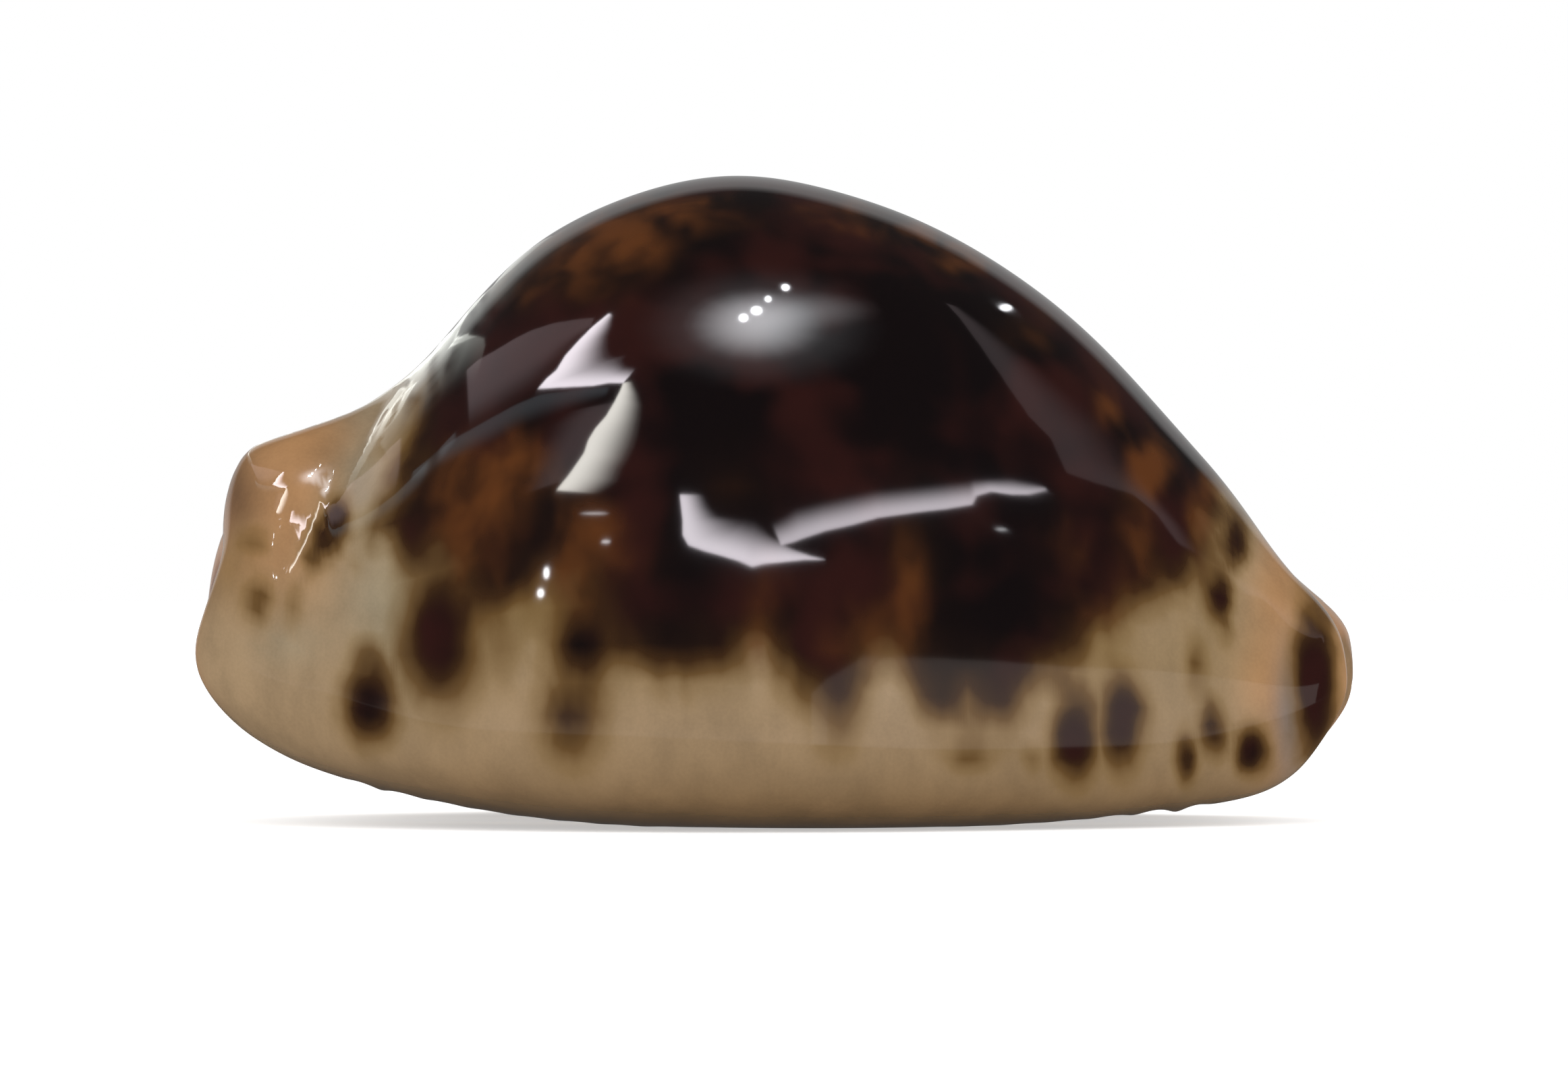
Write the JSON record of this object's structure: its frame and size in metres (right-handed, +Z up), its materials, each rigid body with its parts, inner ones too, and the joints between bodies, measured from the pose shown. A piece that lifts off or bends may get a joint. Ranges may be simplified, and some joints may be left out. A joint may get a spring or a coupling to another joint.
{
  "type": "cowrie shell",
  "caption": "Humped egg-shaped sea shell with a toothed slit along its flat base and a short notched canal at each end.",
  "frame": {"origin": "middle of the box round the shell, on the surface that its base rests on", "axes": "+Z up from the base to the back; +X along the shell from the spire end to the siphon end; -Y to the side of the outer lip"},
  "size_m": [0.08, 0.0516, 0.0445],
  "materials": {
    "glazed_shell": "glossy"
  },
  "bodies": {
    "root": {"shell": "glazed_shell"}
  },
  "joints": []
}
